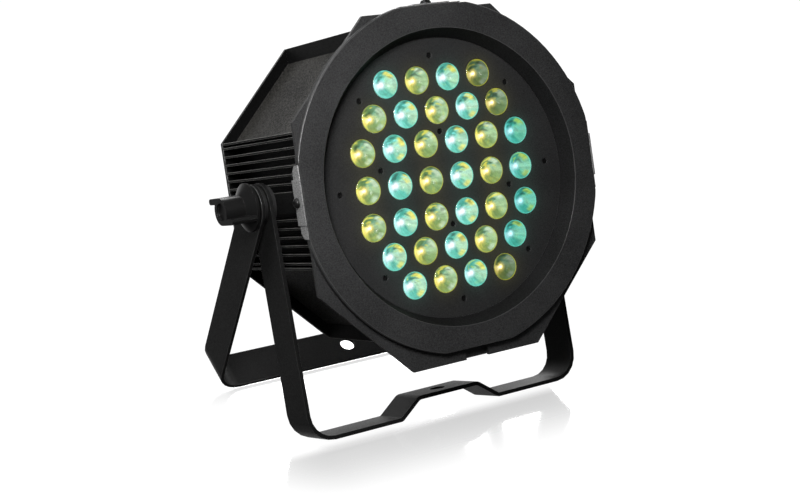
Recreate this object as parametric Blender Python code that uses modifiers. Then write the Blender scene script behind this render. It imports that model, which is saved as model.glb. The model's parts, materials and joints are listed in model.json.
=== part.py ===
"""LED par can light: an octagonal finned head on two splayed U brackets.

Lengths below are in millimetres and are turned into metres as each mesh is made. The head is drawn in
its own frame: X to the right, Y to the back, Z up, with the origin at the middle of the face plate.
The head frame then leans back about the pivot line, and each bracket has its own pivot frame.
"""

import math

import bmesh
import bpy
from mathutils import Matrix, Vector

MM = 0.001
GAP = 0.3
# How far a cutter runs past a face that it opens, or a joined shape into its neighbour.
PAST = 1.0
# How far a joined shape is sunk into a thin neighbour.
SUNK = 0.5
# Facets of a large, a middling and a small round hole.
LARGE_ROUND = 32
ROUND = 24
SMALL_ROUND = 12

# Standing pose, in world coordinates.
HEAD_TILT = 16.0
FRONT_SPLAY = 18.5
REAR_SPLAY = 28.1
PIVOT_WORLD = (0.0, 0.725, 168.663)
PIVOT_BACK = 62.3

# Lens field.
PITCH = 26.0
ROW_STEP = PITCH * math.sqrt(3) / 2
LENS_RADIUS = 9.7
LENS_HOLE_RADIUS = 10.05
LENS_SEGMENTS = 16
RIM_SCREW_CIRCLE = 87.4
SCREW_HOLE_RADIUS = 2.15
INNER_SCREWS = ((0.0, 33.3), (0.0, -33.3), (-52.8, 12.2), (52.8, -12.2))

# Face plate, bezel ring and flange, from front to back.
RING_FRONT = -12.2
RING_BACK = -7.3
RING_OUTER = 125.0
RING_FLAT = 121.4
RING_MOUTH = 104.8
RECESS_FOOT = 99.7
FLANGE_FRONT = -7.0
FLANGE_BACK = -4.0
FLANGE_SIDE = 118.9
FLANGE_BOTTOM = -130.0
FLANGE_CUT = 65.3
FLANGE_HOLE = 109.0
PLATE_RADIUS = 106.0
PLATE_THICKNESS = 2.0
RING_EASE = 0.7
MOUTH_EASE = 0.6
RECESS_EASE = (0.5, -1.9)
SEAT_WIDTH = 4.3
CORNER_SHARE = 0.6
LUG_BACK = 1.0
NOTCH_HALF = 9.75
NOTCH_TOP = -122.8
FITTING_CORNER = 3.0

# Lens carrier, LED board and heat spreader, as depths behind the face.
CARRIER_RADIUS = 97.0
CARRIER_THICKNESS = 1.5
POST_RADIUS = 3.0
POST_END = 13.8
BOARD_RADIUS = 96.0
BOARD_FRONT = 14.1
BOARD_BACK = 15.7
EMITTER_FRONT = 12.1
EMITTER_TIP = 1.5
EMITTER_FOOT = 3.0
LENS_SUNK = 0.7
SPREADER_FRONT = 16.0
SPREADER_BACK = 20.0

# Octagonal body.
BODY_SIDE = 112.0
FLAT_HALF = 47.5
SKIRT_THICKNESS = 3.0
BODY_FRONT = 2.5
BODY_BACK = 124.7
PANEL_FRONT = 125.0
PANEL_BACK = 128.0
BASE_INNER = 98.0
BASE_OUTER = 101.5
FIN_HALF = 0.8
FIN_CENTRES = (12.6, 18.7, 24.8, 30.9, 37.0, 43.3, 46.7)
BOSS_HALF = 7.3
CORNER_OUTER = 105.0
CORNER_THICKNESS = 1.5

# Screws, as (radius, along) from the middle of the head's dome to the end of the shank.
REAR_SCREW = [(0, 2.4), (1.8, 2.2), (3.0, 1.2), (3.4, 0), (1.6, 0), (1.6, -9.0), (0, -9.0)]
REAR_SCREW_INSET = 6.5
REAR_SCREW_HOLE = 1.9
REAR_SCREW_BORE = 1.8
REAR_BORE_DEPTH = 11.0
CLIP_SCREW = [(0, 2.6), (1.7, 2.4), (3.0, 1.5), (3.5, 0), (1.5, 0), (1.5, -9.0), (0, -9.0)]
CLIP_STUD = [(0, 8.5), (1.2, 8.5), (1.45, 8.2), (1.45, 2.4), (3.0, 2.4), (4.1, 0.6), (4.1, 0), *CLIP_SCREW[4:]]
LATCH_SCREW = [(0, 2.6), (1.7, 2.4), (3.2, 1.6), (4.0, 0), (1.9, 0), (1.9, -10.0), (0, -10.0)]

# Clips over the ring's flats, and the latch behind the flange's notch.
CLIP_HALF = 15.5
CLIP_END = 25.0
CLIP_BACK = -1.0
CLIP_THICKNESS = 1.3
CLIP_SCREW_BACK = -5.2
CLIP_SCREW_HOLE = 1.75
CLIP_LIP = 0.6
CLIP_SHOULDER = -6.0
CLIP_TAIL = -2.5
CLIP_SLANT = 4.0
LUG_HALF = 8.0
LATCH_SCREW_BACK = 9.8
LATCH_HOLE = 2.2
LATCH_HALF = 12.0
LATCH_BACK = 15.0
LATCH_THICKNESS = 1.5
LATCH_TAB_HALF = 11.5
LATCH_TAB_SHORT = 0.6

# Pivot stack, outwards from the boss, and the brackets.
BOLT_RADIUS = 4.0
BOLT_HOLE = 4.3
BAR_THICKNESS = 3.0
BAR_HALF = 16.0
BAR_BLANK = BAR_HALF + 2.0
FRONT_ARM = 118.8
FRONT_LEG = 172.5
STEP_HEIGHT = 12.5
STEP_HALF = 25.5
STEP_FOOT = 42.5
REAR_ARM = 125.2
REAR_LEG = 182.65
BEND_RADIUS = 20.0
STEP_BEND = 5.0
TRIM_REACH = 200.0
YOKE_HOLE = 6.0
WASHER_THICKNESS = 1.5
WASHER_RADIUS = 12.0
DISC_RADIUS = 14.0
COLLAR_RADIUS = 17.5
COLLAR_RIM = 2.0
HUB_RADIUS = 9.3
HUB_END = 7.5
HANDLE_START = 3.0
BLIND_END = 138.3
KNOB_END = 149.6
END_RECESS_RADIUS = 6.4
END_RECESS_DEPTH = 1.6
BOLT_TIP = 99.0
BOLT_TIP_RADIUS = 3.4
BOLT_CHAMFER = 0.6

# Rear panel fittings, as (X, Z) places and areas on the panel, and depths behind the face.
DISPLAY = ((-23.5, 44.0), (23.5, 62.0))
BUTTON_RADIUS = 3.6
BUTTON_RIM = BUTTON_RADIUS + 1.2
BUTTON_CAP = [
    (0, 2.3),
    (2.6, 2.2),
    (BUTTON_RADIUS, 1.5),
    (BUTTON_RADIUS, -4.0),
    (BUTTON_RIM, -4.0),
    (BUTTON_RIM, -5.2),
    (0, -5.2),
]
BUTTONS = tuple((x, 28.0) for x in (-24.0, -8.0, 8.0, 24.0))
DMX_IN = (-32.0, -8.0)
DMX_OUT = (32.0, -8.0)
XLR_RADIUS = 11.8
XLR_BORE = 9.6
INLET_BODY = ((-47.0, -72.0), (-19.0, -38.0))
INLET_MARGIN = 2.5
INLET_CUP = ((-45.0, -57.0), (-21.0, -40.5))
DRAWER_AREA = ((-44.0, -69.5), (-22.0, -60.5))
OUTLET_MARGIN = 3.0
OUTLET_BODY = ((19.0, -68.0), (47.0, -47.0))
FLANGE_START = PANEL_BACK + GAP
SOCKET_FLANGE = FLANGE_START + 2.0
PANEL_HOLE_MARGIN = 0.5
FRAME_MARGIN = 6.0
FRAME_THICKNESS = 1.5
DISPLAY_FRONT = 119.2
DISPLAY_PROUD = 0.8
SWITCH_HALF = 3.0
CONTROL_BOARD = ((-42.0, 115.0, 14.0), (42.0, 116.6, 72.0))
SWITCH_START = 116.0
SWITCH_END = 121.4
SHELL_HALF = (13.0, 15.5)
SHELL_FRONT = 112.0
INSERT_FRONT = 112.5
DMX_IN_FLOOR = 116.0
PIN_RADIUS = 1.2
PIN_END = 125.5
CONTACT_SPOTS = ((-3.5, 1.5), (3.5, 1.5), (0.0, -3.6))
OUT_BLOCK_RADIUS = 7.6
OUT_BLOCK_END = 127.0
CONTACT_HOLE_RADIUS = 1.3
CONTACT_HOLE_FLOOR = 119.0
LATCH_SLOT = ((-3.8, 10.6), (3.8, 14.6))
LATCH_TAB = ((-3.5, 12.2), (3.5, 14.3))
LATCH_TAB_PROUD = 1.6
SOCKET_BODY_FRONT = 104.0
POWER_FLANGE_HALF = 23.0
CUP_FLOOR = 110.0
DRAWER_FLOOR = 106.0
DRAWER_PROUD = 0.8
BLADE_SPOTS = ((-7.0, 1.5), (7.0, 1.5), (0.0, -3.0))
BLADE_HALF = (1.0, 2.0)
BLADE_END = 125.0
GROOVE_OUTER = 1.8
GROOVE_INNER = 4.6
GROOVE_FLOOR = 112.0
SLOT_SPOTS = ((-5.5, 1.2), (5.5, 1.2), (0.0, -2.6))
SLOT_FLOOR = 114.0

# Power supply on its tray, low in the body.
TRAY = ((-40.0, 28.0, -97.5), (40.0, 98.0, -96.0))
SUPPLY_BOARD_LOW = -82.0
SUPPLY_BOARD_HALF = 52.0
BOARD_THICKNESS = 1.6
TRAY_POSTS = [(x, y) for x in (-34.0, 34.0) for y in (34.0, 92.0)]
CORE_AREA = ((-44.0, 44.0), (-12.0, 70.0))
CORE_HEIGHT = 26.0
LIMB_AREA = ((-47.0, 49.0), (-9.0, 65.0))
LIMB_HEIGHT = 20.0
CAPACITOR = [(0, 32), (8.6, 32), (9, 31.4), (9, 0), (0, 0)]
CAPACITOR_SPOT = (22.0, 50.0)

# Safety eye: its plate's outline starts at the panel.
EYE_HALF = 13.0
EYE_MIDDLE = 8.0
EYE_RADIUS = 9.0
EYE_HOLE = 5.0
EYE_HOLE_MIDDLE = 8.5
EYE_LOW = 84.0
EYE_HIGH = 86.5
EYE_BASE = (76.0, 94.0)
EYE_BASE_THICKNESS = 2.0

SIDES = {"right": 0, "top": 90, "left": 180, "bottom": 270}
CLIPPED_SIDES = ("right", "top", "left")
UPRIGHT = Matrix.Rotation(math.radians(90), 4, "X")

PAINT = ("satin_black_paint", (0.055, 0.055, 0.058), 0.5, 0.3)
FIN_PAINT = ("fin_black_paint", (0.06, 0.06, 0.063), 0.42, 0.35)
PLATE_PAINT = ("face_plate_paint", (0.05, 0.05, 0.052), 0.6, 0.2)
STEEL = ("zinc_steel", (0.45, 0.45, 0.46), 0.35, 1.0)
DARK_STEEL = ("black_oxide_steel", (0.04, 0.04, 0.042), 0.35, 0.8)
KNOB_PLASTIC = ("knob_plastic", (0.03, 0.03, 0.032), 0.35, 0.0)
BLACK_PLASTIC = ("black_plastic", (0.02, 0.02, 0.022), 0.4, 0.0)
CLIP_ZINC = ("clip_zinc", (0.3, 0.3, 0.3), 0.4, 0.6)
RUBBER = ("rubber", (0.015, 0.015, 0.015), 0.8, 0.0)
CLEAR_LENS = ("clear_lens", (0.55, 0.85, 0.75), 0.08, 0.0)
BARE_ALUMINIUM = ("bare_aluminium", (0.6, 0.6, 0.62), 0.35, 1.0)
WHITE_BOARD = ("white_board", (0.8, 0.8, 0.78), 0.5, 0.0)
GREEN_BOARD = ("green_board", (0.02, 0.18, 0.07), 0.45, 0.0)
YELLOW_TAPE = ("yellow_tape", (0.7, 0.5, 0.05), 0.5, 0.0)
BLUE_SLEEVE = ("blue_sleeve", (0.02, 0.05, 0.25), 0.35, 0.0)
DISPLAY_RED = ("display_red", (0.12, 0.01, 0.01), 0.1, 0.0)


def clear_scene():
    for obj in list(bpy.data.objects):
        bpy.data.objects.remove(obj, do_unlink=True)


def new_collection(name):
    collection = bpy.data.collections.new(name)
    bpy.context.scene.collection.children.link(collection)
    return collection


def material(spec):
    name, colour, roughness, metallic = spec
    found = bpy.data.materials.get(name)
    if found:
        return found
    made = bpy.data.materials.new(name)
    made.use_nodes = True
    shader = made.node_tree.nodes["Principled BSDF"]
    shader.inputs["Base Color"].default_value = (*colour, 1)
    shader.inputs["Roughness"].default_value = roughness
    shader.inputs["Metallic"].default_value = metallic
    return made


def frame(name, location, degrees):
    """An empty that carries one rigid group: location in mm, leaning about X."""
    empty = bpy.data.objects.new(name, None)
    empty.location = Vector(location) * MM
    empty.rotation_euler = (math.radians(degrees), 0, 0)
    PARTS.objects.link(empty)
    return empty


def add_object(name, mesh, spec, parent, origin=(0, 0, 0), rotation=(0, 0, 0)):
    """A part whose mesh is already about its origin, in metres."""
    obj = bpy.data.objects.new(name, mesh)
    PARTS.objects.link(obj)
    mesh.materials.append(material(spec))
    obj.parent = parent
    obj.location = Vector(origin) * MM
    obj.rotation_euler = rotation
    return obj


def solid(name, spec, parent, build, origin=(0, 0, 0)):
    """A part from build(bm), which draws in the parent's frame, in mm."""
    return add_object(name, drawn_mesh(name, build, origin), spec, parent, origin)


def drawn_mesh(name, build, origin=(0, 0, 0)):
    bm = bmesh.new()
    build(bm)
    bmesh.ops.translate(bm, verts=bm.verts, vec=-Vector(origin))
    bmesh.ops.scale(bm, verts=bm.verts, vec=(MM, MM, MM))
    mesh = bpy.data.meshes.new(name)
    bm.to_mesh(mesh)
    bm.free()
    return mesh


def cutter(name, parent, build):
    """A helper drawn in the parent's frame, in mm. Its solids may be several, but they are apart."""
    obj = bpy.data.objects.new(name, drawn_mesh(name, build))
    CUTTERS.objects.link(obj)
    obj.parent = parent
    obj.hide_render = True
    obj.display_type = "WIRE"
    return obj


def combine(obj, name, build, operation="DIFFERENCE"):
    boolean = obj.modifiers.new(name, "BOOLEAN")
    boolean.operation = operation
    boolean.object = cutter(f"{obj.name}_{name}", obj.parent, build)


def round_edges(obj, width, segments=2, angle=40):
    bevel = obj.modifiers.new("rounded_edges", "BEVEL")
    bevel.width = width * MM
    bevel.segments = segments
    bevel.limit_method = "ANGLE"
    bevel.angle_limit = math.radians(angle)


def box(bm, low, high):
    low, high = Vector(low), Vector(high)
    place = Matrix.Translation((low + high) / 2) @ Matrix.Diagonal((*(high - low), 1))
    bmesh.ops.create_cube(bm, size=1, matrix=place)


def rod(bm, axis, middle, radius, start, end, segments=24, end_radius=None):
    """A cylinder or cone along X, Y or Z, from start to end; middle is its place across that axis."""
    turns = {
        "X": Matrix.Rotation(math.radians(90), 4, "Y"),
        "Y": Matrix.Rotation(math.radians(-90), 4, "X"),
        "Z": Matrix.Identity(4),
    }
    centre = list(middle)
    centre.insert("XYZ".index(axis), (start + end) / 2)
    bmesh.ops.create_cone(
        bm,
        cap_ends=True,
        segments=segments,
        radius1=radius,
        radius2=radius if end_radius is None else end_radius,
        depth=end - start,
        matrix=Matrix.Translation(centre) @ turns[axis],
    )


def sheet(bm, loops, near, far, turn=None):
    """A flat outline in (X, Z), with any inner loops as holes, thick from near to far along Y."""
    curve = bpy.data.curves.new("outline", "CURVE")
    curve.dimensions = "2D"
    curve.fill_mode = "BOTH"
    curve.extrude = (far - near) / 2
    for loop in loops:
        spline = curve.splines.new("POLY")
        spline.points.add(len(loop) - 1)
        spline.use_cyclic_u = True
        for point, (across, up) in zip(spline.points, loop):
            point.co = (across, up, 0, 1)
    drawn = bpy.data.objects.new("outline", curve)
    CUTTERS.objects.link(drawn)
    bpy.context.view_layer.update()
    graph = bpy.context.evaluated_depsgraph_get()
    mesh = bpy.data.meshes.new_from_object(drawn.evaluated_get(graph))
    bpy.data.objects.remove(drawn)
    bpy.data.curves.remove(curve)
    mesh.transform(Matrix.Translation((0, (near + far) / 2, 0)) @ UPRIGHT)
    if turn is not None:
        mesh.transform(turn)
    part = bmesh.new()
    part.from_mesh(mesh)
    bmesh.ops.remove_doubles(part, verts=part.verts, dist=1e-4)
    bmesh.ops.recalc_face_normals(part, faces=part.faces)
    part.to_mesh(mesh)
    part.free()
    bm.from_mesh(mesh)
    bpy.data.meshes.remove(mesh)


def turned(name, spec, parent, profile, origin, towards, steps=32):
    """A turned part: profile holds (radius, along) in mm, and towards is the way its axis points."""
    mesh = bpy.data.meshes.new(name)
    points = [(radius * MM, 0, along * MM) for radius, along in profile]
    edges = [(i, i + 1) for i in range(len(points) - 1)]
    if min(radius for radius, _ in profile) > 0:
        edges.append((len(points) - 1, 0))
    mesh.from_pydata(points, edges, [])
    rotation = Vector((0, 0, 1)).rotation_difference(Vector(towards)).to_euler()
    obj = add_object(name, mesh, spec, parent, origin, rotation)
    screw = obj.modifiers.new("turned", "SCREW")
    screw.axis = "Z"
    screw.angle = math.tau
    screw.steps = steps
    screw.render_steps = steps
    screw.use_merge_vertices = True
    screw.merge_threshold = 1e-5
    return obj


def arc(centre, radius, start, end, count):
    """Points along an arc, with both ends, angles in degrees."""
    angles = [math.radians(start + (end - start) * i / count) for i in range(count + 1)]
    return [(centre[0] + radius * math.cos(a), centre[1] + radius * math.sin(a)) for a in angles]


def circle(centre, radius, count=24):
    return arc(centre, radius, 0, 360, count)[:-1]


def octagon(side, cut, bottom=None):
    """An octagon with 45 degree corners, side from its middle, bottom if it reaches lower."""
    low = -side if bottom is None else bottom
    inner = side - cut
    return [
        (side, low + cut),
        (side, inner),
        (inner, side),
        (-inner, side),
        (-side, inner),
        (-side, low + cut),
        (-inner, low),
        (inner, low),
    ]


def rounded_box(low, high, radius, count=3):
    corners = (
        (high[0] - radius, high[1] - radius, 0),
        (low[0] + radius, high[1] - radius, 90),
        (low[0] + radius, low[1] + radius, 180),
        (high[0] - radius, low[1] + radius, 270),
    )
    return [p for x, z, turn in corners for p in arc((x, z), radius, turn, turn + 90, count)]


def turn_about_y(degrees):
    """Takes a shape drawn on the right to another side of the head."""
    return Matrix.Rotation(math.radians(-degrees), 4, "Y")


def copies(bm, turns, build):
    """One copy of what build(bm) draws for each turn."""
    for turn in turns:
        part = bmesh.new()
        build(part)
        bmesh.ops.transform(part, matrix=turn, verts=part.verts)
        mesh = bpy.data.meshes.new("copy")
        part.to_mesh(mesh)
        part.free()
        bm.from_mesh(mesh)
        bpy.data.meshes.remove(mesh)


def lens_spots():
    """(X, Z) of each lens: three straight rows of six, then rows of five and four at each end."""
    rows = [(level * PITCH, 6) for level in (1, 0, -1)]
    for end in (1, -1):
        rows += [(end * (PITCH + ROW_STEP), 5), (end * (PITCH + 2 * ROW_STEP), 4)]
    return [((i - (count - 1) / 2) * PITCH, up) for up, count in rows for i in range(count)]


def rim_screw_spots():
    return circle((0, 0), RIM_SCREW_CIRCLE, 8)


# --- Front of the head ---------------------------------------------------------------------------


def build_bezel_ring():
    profile = [
        (RING_OUTER, RING_BACK),
        (RING_OUTER, RING_FRONT + RING_EASE),
        (RING_OUTER - RING_EASE, RING_FRONT),
        (RING_MOUTH + MOUTH_EASE, RING_FRONT),
        (RING_MOUTH, RING_FRONT + MOUTH_EASE),
        (RECESS_FOOT + RECESS_EASE[0], RECESS_EASE[1]),
        (RECESS_FOOT, -GAP),
        (RECESS_FOOT + SEAT_WIDTH, -GAP),
        (FLANGE_HOLE - PAST, RING_BACK),
    ]
    ring = turned("bezel_ring", PAINT, HEAD, profile, (0, 0, 0), (0, 1, 0), 96)
    low = (-RING_FLAT, RING_FRONT - PAST, -RING_FLAT)
    high = (RING_FLAT, PAST, RING_FLAT)
    combine(ring, "flats", lambda bm: box(bm, low, high), "INTERSECT")


def build_front_flange():
    outline = octagon(FLANGE_SIDE, FLANGE_CUT, FLANGE_BOTTOM)
    hole = circle((0, 0), FLANGE_HOLE, 64)
    flange = solid(
        "front_flange",
        PAINT,
        HEAD,
        lambda bm: sheet(bm, [outline, hole], FLANGE_FRONT, FLANGE_BACK),
    )
    cut = BODY_SIDE - FLAT_HALF
    inner = BODY_SIDE - SKIRT_THICKNESS
    walls = [octagon(BODY_SIDE, cut), octagon(inner, cut - SKIRT_THICKNESS * CORNER_SHARE)]
    combine(
        flange,
        "skirt",
        lambda bm: sheet(bm, walls, FLANGE_BACK - PAST, BODY_FRONT - GAP),
        "UNION",
    )
    clipped = [turn_about_y(SIDES[side]) for side in CLIPPED_SIDES]

    def lugs(bm):
        low = (BODY_SIDE - SKIRT_THICKNESS / 2, FLANGE_BACK - SUNK, -LUG_HALF)
        high = (FLANGE_SIDE - SUNK, LUG_BACK, LUG_HALF)
        copies(bm, clipped, lambda part: box(part, low, high))

    def lug_holes(bm):
        spot = (CLIP_SCREW_BACK, 0)
        reach = (inner - PAST, FLANGE_SIDE + 2 * PAST)
        copies(bm, clipped, lambda part: rod(part, "X", spot, CLIP_SCREW_HOLE, *reach, SMALL_ROUND))

    combine(flange, "lugs", lugs, "UNION")
    combine(flange, "lug_holes", lug_holes)
    foot = FLANGE_BOTTOM - 10 * PAST
    notch = rounded_box((-NOTCH_HALF, foot), (NOTCH_HALF, NOTCH_TOP), FITTING_CORNER)
    combine(flange, "notch", lambda bm: sheet(bm, [notch], FLANGE_FRONT - PAST, FLANGE_BACK + PAST))


def build_face_plate():
    plate = solid(
        "face_plate",
        PLATE_PAINT,
        HEAD,
        lambda bm: rod(bm, "Y", (0, 0), PLATE_RADIUS, 0, PLATE_THICKNESS, 64),
    )

    def holes(bm):
        for spot in lens_spots():
            rod(bm, "Y", spot, LENS_HOLE_RADIUS, -PAST, PLATE_THICKNESS + PAST, LENS_SEGMENTS)
        for spot in [*rim_screw_spots(), *INNER_SCREWS]:
            rod(bm, "Y", spot, SCREW_HOLE_RADIUS, -PAST, PLATE_THICKNESS + PAST, 8)

    combine(plate, "holes", holes)


def build_lens_array():
    carrier_front = PLATE_THICKNESS + GAP
    carrier_back = carrier_front + CARRIER_THICKNESS
    array = solid(
        "lens_array",
        CLEAR_LENS,
        HEAD,
        lambda bm: rod(bm, "Y", (0, 0), CARRIER_RADIUS, carrier_front, carrier_back, 48),
    )

    def lenses(bm):
        for spot in lens_spots():
            rod(bm, "Y", spot, LENS_RADIUS, 0, carrier_front + LENS_SUNK, LENS_SEGMENTS)
        for spot in INNER_SCREWS:
            rod(bm, "Y", spot, POST_RADIUS, carrier_back - LENS_SUNK, POST_END, 8)

    combine(array, "lenses", lenses, "UNION")


def build_led_board():
    board = solid(
        "led_board",
        WHITE_BOARD,
        HEAD,
        lambda bm: rod(bm, "Y", (0, 0), BOARD_RADIUS, BOARD_FRONT, BOARD_BACK, 48),
    )

    def emitters(bm):
        for spot in lens_spots():
            rod(bm, "Y", spot, EMITTER_TIP, EMITTER_FRONT, BOARD_FRONT + SUNK, 8, end_radius=EMITTER_FOOT)

    combine(board, "emitters", emitters, "UNION")
    side = BASE_INNER - GAP
    cut = side * (2 - math.sqrt(2))
    solid(
        "heat_spreader",
        BARE_ALUMINIUM,
        HEAD,
        lambda bm: sheet(bm, [octagon(side, cut)], SPREADER_FRONT, SPREADER_BACK),
    )


# --- Body ----------------------------------------------------------------------------------------


def fin_section():
    """The upper half of the right extrusion's section, from its boss to its top, as (X, Z) points."""
    points = [(BODY_SIDE, BOSS_HALF), (BASE_OUTER, BOSS_HALF)]
    for centre in FIN_CENTRES:
        low, high = centre - FIN_HALF, centre + FIN_HALF
        points += [(BASE_OUTER, low), (BODY_SIDE, low), (BODY_SIDE, high), (BASE_OUTER, high)]
    return [*points[:-1], (BASE_INNER, FLAT_HALF)]


def build_side_extrusions():
    upper = fin_section()
    outline = [(x, -z) for x, z in reversed(upper)] + upper
    for side, degrees in SIDES.items():
        turn = turn_about_y(degrees)
        part = solid(
            f"side_extrusion_{side}",
            FIN_PAINT,
            HEAD,
            lambda bm, turn=turn: sheet(bm, [outline], BODY_FRONT, BODY_BACK, turn),
        )

        def bores(bm, turn=turn, side=side):
            spot = (BODY_SIDE - REAR_SCREW_INSET, 0)
            start = BODY_BACK - REAR_BORE_DEPTH
            rod(bm, "Y", spot, REAR_SCREW_BORE, start, BODY_BACK + PAST, SMALL_ROUND)
            through = (BASE_INNER - PAST, BODY_SIDE + PAST)
            if side == "bottom":
                rod(bm, "X", (LATCH_SCREW_BACK, 0), LATCH_HOLE, *through, SMALL_ROUND)
            if side in ("left", "right"):
                rod(bm, "X", (PIVOT_BACK, 0), BOLT_HOLE, *through, ROUND)
            bmesh.ops.transform(bm, matrix=turn, verts=bm.verts)

        combine(part, "bores", bores)


def build_corner_panels():
    """Flat panels set back between the extrusions, mitred against their side walls."""
    outline = []
    for level in (CORNER_OUTER, CORNER_OUTER - CORNER_THICKNESS):
        reach = level - (FLAT_HALF + GAP) * math.sqrt(2)
        outline += [(level, -reach), (level, reach)]
    outline = [outline[0], outline[1], outline[3], outline[2]]
    for name, degrees in (("top_right", 45), ("top_left", 135), ("bottom_left", 225), ("bottom_right", 315)):
        turn = turn_about_y(degrees)
        solid(
            f"corner_panel_{name}",
            PAINT,
            HEAD,
            lambda bm, turn=turn: sheet(bm, [outline], BODY_FRONT, BODY_BACK, turn),
        )


def build_rear_panel():
    cut = BODY_SIDE - FLAT_HALF
    loops = [
        octagon(BODY_SIDE, cut),
        rounded_box(*grown(DISPLAY, PANEL_HOLE_MARGIN), 1.0, 1),
        rounded_box(*grown(INLET_BODY, PANEL_HOLE_MARGIN), 2.0, 2),
        rounded_box(*grown(OUTLET_BODY, PANEL_HOLE_MARGIN), 2.0, 2),
        circle(DMX_IN, XLR_RADIUS + GAP, LARGE_ROUND),
        circle(DMX_OUT, XLR_RADIUS + GAP, LARGE_ROUND),
    ]
    loops += [circle(spot, BUTTON_RADIUS + GAP, 16) for spot in BUTTONS]
    reach = BODY_SIDE - REAR_SCREW_INSET
    for spot in ((reach, 0), (0, reach), (-reach, 0), (0, -reach)):
        loops.append(circle(spot, REAR_SCREW_HOLE, SMALL_ROUND))
    solid("rear_panel", PAINT, HEAD, lambda bm: sheet(bm, loops, PANEL_FRONT, PANEL_BACK))
    for side, degrees in SIDES.items():
        spot = turn_about_y(degrees) @ Vector((reach, PANEL_BACK + GAP, 0))
        turned(f"rear_screw_{side}", DARK_STEEL, HEAD, REAR_SCREW, spot, (0, 1, 0), 16)


def build_clips():
    """Zinc clips that hold the ring's flats to the flange's lugs; the top one has a stud for its screw."""
    seat = RING_FLAT + GAP
    thin = seat + CLIP_THICKNESS / 2
    raised = seat + CLIP_THICKNESS
    ends = [
        (-CLIP_END, RING_FRONT + CLIP_LIP),
        (CLIP_END, RING_FRONT + CLIP_LIP),
        (CLIP_END, CLIP_SHOULDER),
        (CLIP_END - CLIP_SLANT, CLIP_TAIL),
        (CLIP_SLANT - CLIP_END, CLIP_TAIL),
        (-CLIP_END, CLIP_SHOULDER),
    ]
    for side in CLIPPED_SIDES:
        turn = turn_about_y(SIDES[side])

        def plate(bm, turn=turn):
            lay = Matrix(((0, 1, 0, 0), (0, 0, 1, 0), (1, 0, 0, 0), (0, 0, 0, 1)))
            sheet(bm, [ends], seat, thin, turn @ lay)

        def raised_middle(bm, turn=turn):
            box(bm, (seat + 0.2, RING_FRONT, -CLIP_HALF), (raised, CLIP_BACK, CLIP_HALF))
            bmesh.ops.transform(bm, matrix=turn, verts=bm.verts)

        def hole(bm, turn=turn):
            reach = (seat - PAST, raised + PAST)
            rod(bm, "X", (CLIP_SCREW_BACK, 0), CLIP_SCREW_HOLE, *reach, SMALL_ROUND)
            bmesh.ops.transform(bm, matrix=turn, verts=bm.verts)

        clip = solid(f"clip_plate_{side}", CLIP_ZINC, HEAD, plate)
        combine(clip, "raised_middle", raised_middle, "UNION")
        combine(clip, "hole", hole)
        name, profile = ("clip_stud_top", CLIP_STUD) if side == "top" else (f"clip_screw_{side}", CLIP_SCREW)
        spot = turn @ Vector((raised + GAP, CLIP_SCREW_BACK, 0))
        turned(name, DARK_STEEL, HEAD, profile, spot, turn @ Vector((1, 0, 0)), 16)


def build_bottom_latch():
    """An angle plate on the bottom boss whose tab stands behind the flange's notch."""
    top = -BODY_SIDE - GAP
    low = top - LATCH_THICKNESS
    tab_front = FLANGE_BACK + GAP
    latch = solid(
        "latch_plate_bottom",
        PAINT,
        HEAD,
        lambda bm: box(bm, (-LATCH_HALF, tab_front, low), (LATCH_HALF, LATCH_BACK, top)),
    )
    tab_low = (-LATCH_TAB_HALF, tab_front, FLANGE_BOTTOM + LATCH_TAB_SHORT)
    tab_high = (LATCH_TAB_HALF, tab_front + LATCH_THICKNESS, top - SUNK)
    combine(latch, "tab", lambda bm: box(bm, tab_low, tab_high), "UNION")
    spot, ends = (0, LATCH_SCREW_BACK), (low - PAST, top + PAST)
    combine(latch, "hole", lambda bm: rod(bm, "Z", spot, LATCH_HOLE, *ends, SMALL_ROUND))
    seat = (0, LATCH_SCREW_BACK, low - GAP)
    turned("latch_screw_bottom", DARK_STEEL, HEAD, LATCH_SCREW, seat, (0, 0, -1), 16)


# --- Rear panel fittings and what is inside ------------------------------------------------------


def grown(area, margin):
    (x0, z0), (x1, z1) = area
    return (x0 - margin, z0 - margin), (x1 + margin, z1 + margin)


def middle(area):
    (x0, z0), (x1, z1) = area
    return (x0 + x1) / 2, (z0 + z1) / 2


def build_display():
    outer = rounded_box(*grown(DISPLAY, FRAME_MARGIN), FITTING_CORNER)
    loops = [outer, rounded_box(*grown(DISPLAY, PANEL_HOLE_MARGIN), 1.0, 1)]
    solid(
        "display_frame",
        BLACK_PLASTIC,
        HEAD,
        lambda bm: sheet(bm, loops, FLANGE_START, FLANGE_START + FRAME_THICKNESS),
    )
    (x0, z0), (x1, z1) = DISPLAY
    solid(
        "display_module",
        DISPLAY_RED,
        HEAD,
        lambda bm: box(bm, (x0, DISPLAY_FRONT, z0), (x1, FLANGE_START + DISPLAY_PROUD, z1)),
    )


def build_buttons():
    for number, (x, z) in enumerate(BUTTONS, 1):
        turned(f"menu_button_{number}", RUBBER, HEAD, BUTTON_CAP, (x, PANEL_BACK, z), (0, 1, 0), 16)


def build_control_board():
    board = solid("control_board", GREEN_BOARD, HEAD, lambda bm: box(bm, *CONTROL_BOARD))

    def switches(bm):
        for x, z in BUTTONS:
            low = (x - SWITCH_HALF, SWITCH_START, z - SWITCH_HALF)
            box(bm, low, (x + SWITCH_HALF, SWITCH_END, z + SWITCH_HALF))

    combine(board, "switches", switches, "UNION")


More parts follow.
